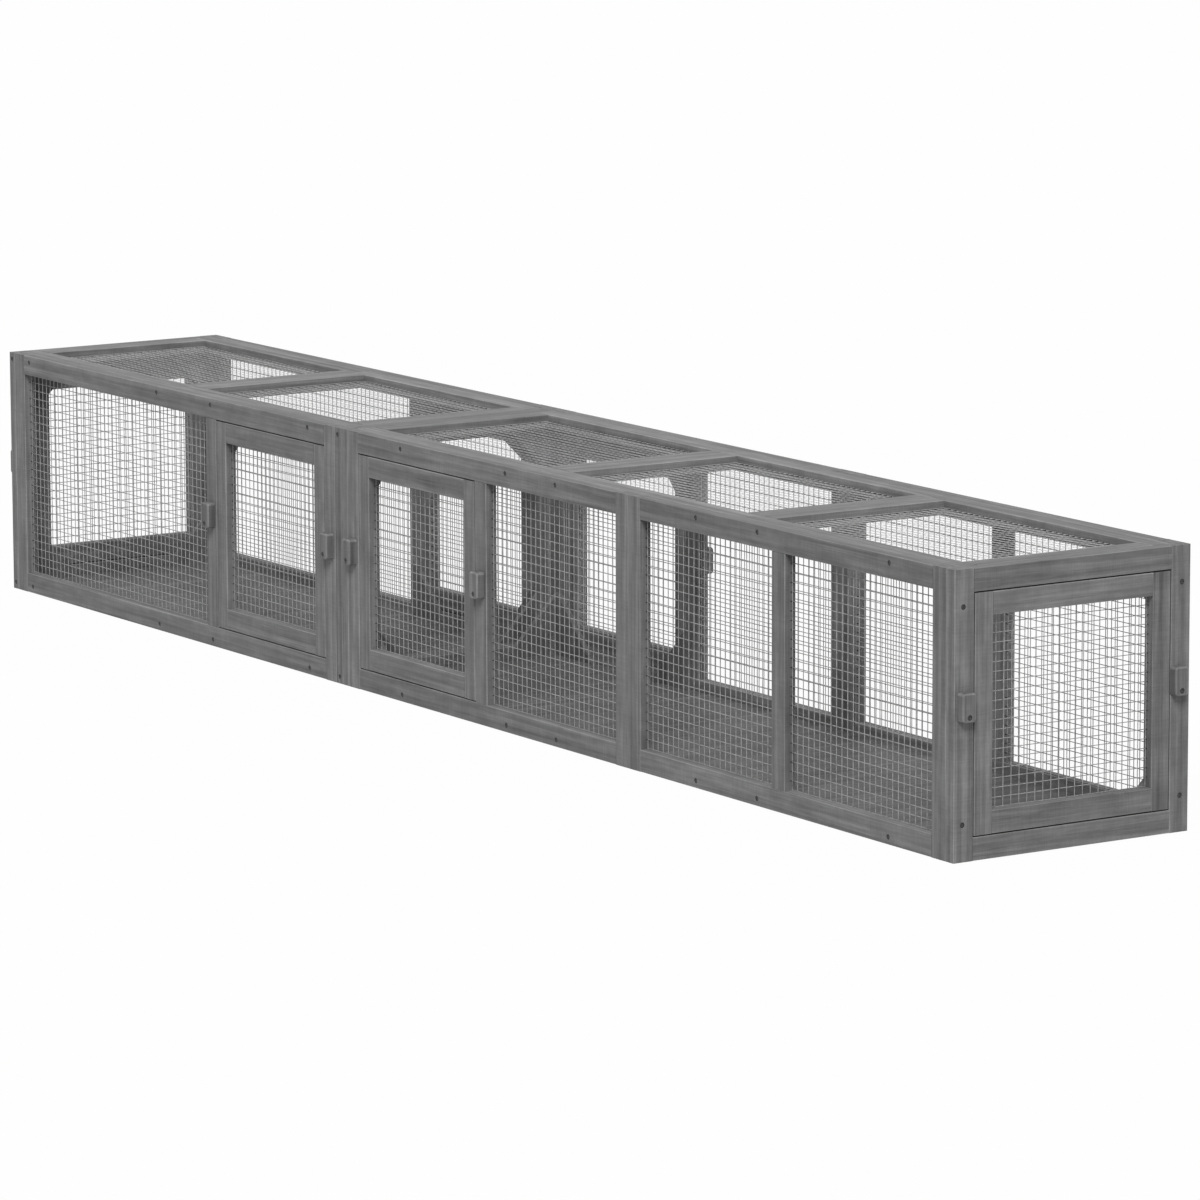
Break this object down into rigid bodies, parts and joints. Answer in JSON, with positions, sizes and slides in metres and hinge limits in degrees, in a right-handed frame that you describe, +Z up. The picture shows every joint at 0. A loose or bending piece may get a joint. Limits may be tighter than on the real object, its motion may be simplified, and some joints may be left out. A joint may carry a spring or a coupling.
{
  "type": "outdoor cat tunnel",
  "caption": "Long low outdoor cat run of grey timber and wire mesh, in modules joined end to end, with lift-out mesh doors held by wooden turn buttons.",
  "frame": {"origin": "on the ground, under the middle of the tunnel", "axes": "+X along the tunnel from the short module to the long one, +Y from the front to the back, +Z up"},
  "size_m": [3.0306, 0.4726, 0.445],
  "materials": {
    "stained_timber": "grey stain, planed",
    "inner_timber": "grey stain, planed",
    "floor_timber": "grey stain, planed",
    "galvanised_wire": "galvanised",
    "screw_steel": "dark phosphate"
  },
  "bodies": {
    "frame": {"back_left_panel_frame": "stained_timber", "back_left_panel_mesh": "galvanised_wire", "back_middle_panel_frame": "stained_timber", "back_middle_panel_mesh": "galvanised_wire", "back_right_panel_frame": "stained_timber", "back_right_panel_mesh": "galvanised_wire", "button_screws": "screw_steel", "end_frame_gussets": "inner_timber", "end_frame_screws": "screw_steel", "floor_battens": "floor_timber", "frame_edge_screws": "screw_steel", "front_left_panel_frame": "stained_timber", "front_left_panel_mesh": "galvanised_wire", "front_middle_panel_frame": "stained_timber", "front_middle_panel_mesh": "galvanised_wire", "front_right_panel_frame": "stained_timber", "front_right_panel_mesh": "galvanised_wire", "left_end_frame": "stained_timber", "left_floor_boards": "floor_timber", "left_joint_frame": "stained_timber", "module_joint_screws": "screw_steel", "rail_screws": "screw_steel", "right_end_frame": "stained_timber", "right_floor_boards": "floor_timber", "right_joint_frame": "stained_timber", "roof_frame_1": "stained_timber", "roof_frame_2": "stained_timber", "roof_frame_3": "stained_timber", "roof_frame_4": "stained_timber", "roof_frame_5": "stained_timber", "roof_mesh_1": "galvanised_wire", "roof_mesh_2": "galvanised_wire", "roof_mesh_3": "galvanised_wire", "roof_mesh_4": "galvanised_wire", "roof_mesh_5": "galvanised_wire", "side_door_gussets": "inner_timber"},
    "front_left_door": {"front_left_door_frame": "stained_timber", "front_left_door_mesh": "galvanised_wire"},
    "front_left_door_left_button": {"front_left_door_left_button": "stained_timber"},
    "front_left_door_right_button": {"front_left_door_right_button": "stained_timber"},
    "front_right_door": {"front_right_door_frame": "stained_timber", "front_right_door_mesh": "galvanised_wire"},
    "front_right_door_left_button": {"front_right_door_left_button": "stained_timber"},
    "front_right_door_right_button": {"front_right_door_right_button": "stained_timber"},
    "back_left_door": {"back_left_door_frame": "stained_timber", "back_left_door_mesh": "galvanised_wire"},
    "back_left_door_left_button": {"back_left_door_left_button": "stained_timber"},
    "back_left_door_right_button": {"back_left_door_right_button": "stained_timber"},
    "back_right_door": {"back_right_door_frame": "stained_timber", "back_right_door_mesh": "galvanised_wire"},
    "back_right_door_left_button": {"back_right_door_left_button": "stained_timber"},
    "back_right_door_right_button": {"back_right_door_right_button": "stained_timber"},
    "left_end_door": {"left_end_door_frame": "stained_timber", "left_end_door_mesh": "galvanised_wire"},
    "left_end_door_front_button": {"left_end_door_front_button": "stained_timber"},
    "left_end_door_back_button": {"left_end_door_back_button": "stained_timber"},
    "right_end_door": {"right_end_door_frame": "stained_timber", "right_end_door_mesh": "galvanised_wire"},
    "right_end_door_front_button": {"right_end_door_front_button": "stained_timber"},
    "right_end_door_back_button": {"right_end_door_back_button": "stained_timber"}
  },
  "joints": [
    {"name": "front_left_door_lift_out", "type": "slide", "parent": "frame", "child": "front_left_door", "axis": [0, -1, 0], "range_m": [0, 0.24]},
    {"name": "front_left_door_left_button_turn", "type": "hinge", "parent": "frame", "child": "front_left_door_left_button", "pos_m": [-0.742, -0.229, 0.2225], "axis": [0, -1, 0], "range_deg": [-180, 0]},
    {"name": "front_left_door_right_button_turn", "type": "hinge", "parent": "frame", "child": "front_left_door_right_button", "pos_m": [-0.329, -0.229, 0.2225], "axis": [0, -1, 0], "range_deg": [0, 180]},
    {"name": "front_right_door_lift_out", "type": "slide", "parent": "frame", "child": "front_right_door", "axis": [0, -1, 0], "range_m": [0, 0.24]},
    {"name": "front_right_door_left_button_turn", "type": "hinge", "parent": "frame", "child": "front_right_door_left_button", "pos_m": [-0.251, -0.229, 0.2225], "axis": [0, -1, 0], "range_deg": [-180, 0]},
    {"name": "front_right_door_right_button_turn", "type": "hinge", "parent": "frame", "child": "front_right_door_right_button", "pos_m": [0.162, -0.229, 0.2225], "axis": [0, -1, 0], "range_deg": [0, 180]},
    {"name": "back_left_door_lift_out", "type": "slide", "parent": "frame", "child": "back_left_door", "axis": [0, 1, 0], "range_m": [0, 0.24]},
    {"name": "back_left_door_left_button_turn", "type": "hinge", "parent": "frame", "child": "back_left_door_left_button", "pos_m": [-0.742, 0.229, 0.2225], "axis": [0, 1, 0], "range_deg": [0, 180]},
    {"name": "back_left_door_right_button_turn", "type": "hinge", "parent": "frame", "child": "back_left_door_right_button", "pos_m": [-0.329, 0.229, 0.2225], "axis": [0, 1, 0], "range_deg": [-180, 0]},
    {"name": "back_right_door_lift_out", "type": "slide", "parent": "frame", "child": "back_right_door", "axis": [0, 1, 0], "range_m": [0, 0.24]},
    {"name": "back_right_door_left_button_turn", "type": "hinge", "parent": "frame", "child": "back_right_door_left_button", "pos_m": [-0.251, 0.229, 0.2225], "axis": [0, 1, 0], "range_deg": [0, 180]},
    {"name": "back_right_door_right_button_turn", "type": "hinge", "parent": "frame", "child": "back_right_door_right_button", "pos_m": [0.162, 0.229, 0.2225], "axis": [0, 1, 0], "range_deg": [-180, 0]},
    {"name": "left_end_door_lift_out", "type": "slide", "parent": "frame", "child": "left_end_door", "axis": [-1, 0, 0], "range_m": [0, 0.24]},
    {"name": "left_end_door_front_button_turn", "type": "hinge", "parent": "frame", "child": "left_end_door_front_button", "pos_m": [-1.508, -0.203, 0.2225], "axis": [-1, 0, 0], "range_deg": [0, 180]},
    {"name": "left_end_door_back_button_turn", "type": "hinge", "parent": "frame", "child": "left_end_door_back_button", "pos_m": [-1.508, 0.196, 0.2225], "axis": [-1, 0, 0], "range_deg": [-180, 0]},
    {"name": "right_end_door_lift_out", "type": "slide", "parent": "frame", "child": "right_end_door", "axis": [1, 0, 0], "range_m": [0, 0.24]},
    {"name": "right_end_door_front_button_turn", "type": "hinge", "parent": "frame", "child": "right_end_door_front_button", "pos_m": [1.508, -0.203, 0.2225], "axis": [1, 0, 0], "range_deg": [-180, 0]},
    {"name": "right_end_door_back_button_turn", "type": "hinge", "parent": "frame", "child": "right_end_door_back_button", "pos_m": [1.508, 0.196, 0.2225], "axis": [1, 0, 0], "range_deg": [0, 180]}
  ]
}
